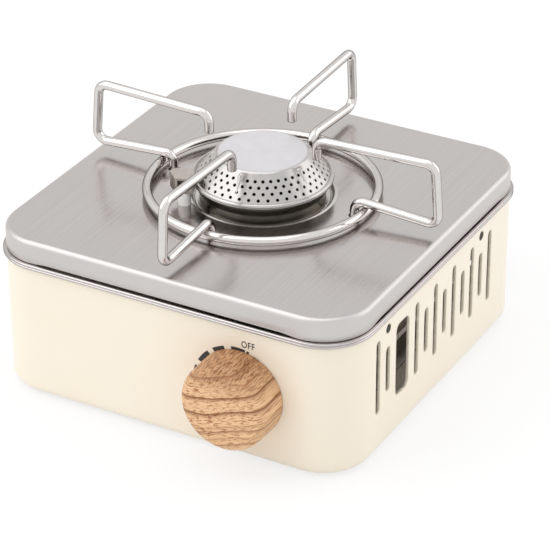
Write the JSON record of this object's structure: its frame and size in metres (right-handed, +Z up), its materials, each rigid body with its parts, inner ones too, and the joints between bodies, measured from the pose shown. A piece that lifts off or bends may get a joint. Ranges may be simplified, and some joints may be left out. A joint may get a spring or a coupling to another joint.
{
  "type": "portable gas stove",
  "caption": "Square portable gas stove: cream tin box with vent slots, steel lid, perforated burner, lift-off wire pot support, wood-grain knob and a canister bay at the back.",
  "frame": {"origin": "on the floor under the middle of the overall width and length, knob included", "axes": "+X to the right, +Y to the back, +Z up; the knob faces -Y"},
  "size_m": [0.19, 0.2068, 0.1205],
  "materials": {
    "cream_paint": "satin cream enamel",
    "brushed_stainless": "brushed along the depth",
    "polished_steel": "polished",
    "polished_wire": "bright wire",
    "burner_steel": "satin pressed sheet",
    "hood_steel": "folded sheet, warm grey",
    "zinc_sheet": "galvanised sheet",
    "spring_steel": "blackened spring sheet",
    "cast_alloy": "as cast",
    "brass": "turned",
    "white_ceramic": "glazed white",
    "ferrite": "dark sintered",
    "wood_grain": "light oak grain, satin",
    "black_plastic": "moulded",
    "white_plastic": "moulded",
    "black_rubber": "matt"
  },
  "bodies": {
    "stove": {"tin_body": "cream_paint", "rim_band": "polished_steel", "lid": "brushed_stainless", "lid_catches": "spring_steel", "rubber_feet": "black_rubber", "burner_seat_ring": "burner_steel", "burner_rivets": "polished_steel", "burner_bowl": "burner_steel", "burner_cap": "burner_steel", "mixing_tube": "burner_steel", "injector": "brass", "gas_pipe": "cast_alloy", "valve_bracket": "zinc_sheet", "valve_body": "cast_alloy", "valve_screws": "polished_steel", "regulator": "cast_alloy", "canister_socket": "cast_alloy", "inlet_seal": "black_rubber", "socket_magnet": "ferrite", "heat_shield": "zinc_sheet", "canister_rails": "zinc_sheet", "piezo_housing": "black_plastic", "ignition_lead": "black_rubber", "ceramic_insulator": "white_ceramic", "electrode": "polished_steel", "igniter_hood": "hood_steel"},
    "knob": {"knob": "wood_grain", "valve_spindle": "brass", "trigger_cam": "white_plastic"},
    "plunger": {"piezo_plunger": "white_plastic"},
    "pot_support": {"pot_ring": "polished_wire", "pot_arm_right": "polished_wire", "pot_arm_back": "polished_wire", "pot_arm_left": "polished_wire", "pot_arm_front": "polished_wire"}
  },
  "joints": [
    {"name": "knob_turn", "type": "hinge", "parent": "stove", "child": "knob", "pos_m": [0.0403, -0.08482, 0.0355], "axis": [0, -1, 0], "range_deg": [0, 105]},
    {"name": "plunger_slide", "type": "slide", "parent": "stove", "child": "plunger", "axis": [-1, 0, 0], "range_m": [0, 0.004]},
    {"name": "pot_support_lift", "type": "slide", "parent": "stove", "child": "pot_support", "axis": [0, 0, 1], "range_m": [0, 0.03]}
  ],
  "couplings": [
    {"joint": "plunger_slide", "follows": "knob_turn", "m_per_rad": 0.0021827}
  ]
}
